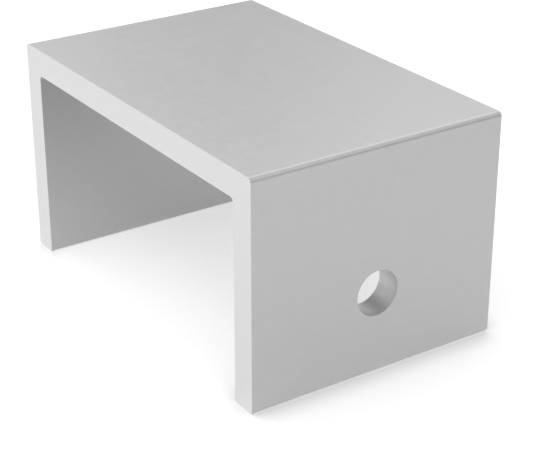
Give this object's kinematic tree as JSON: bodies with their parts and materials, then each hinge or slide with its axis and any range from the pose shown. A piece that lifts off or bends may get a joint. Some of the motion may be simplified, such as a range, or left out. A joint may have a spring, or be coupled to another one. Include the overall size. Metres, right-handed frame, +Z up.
{
  "type": "solar rail anti-slip clip",
  "caption": "U-shaped slice of extruded aluminium channel that straddles a mounting rail and is screwed to its side, so that the rail can't slide down the roof.",
  "frame": {"origin": "in the plane of the toes, at the middle of the channel and of the cut length", "axes": "+X across the channel towards the flange with the screw hole, +Y along the extrusion and the rail, +Z up from the toes to the web"},
  "size_m": [0.046, 0.03, 0.025],
  "materials": {
    "mill_aluminium": "matt mill finish with faint die lines along the extrusion; the finely sawn ends and the drilled hole are fresh, paler metal"
  },
  "bodies": {
    "root": {"anti_slip_clip": "mill_aluminium"}
  },
  "joints": []
}
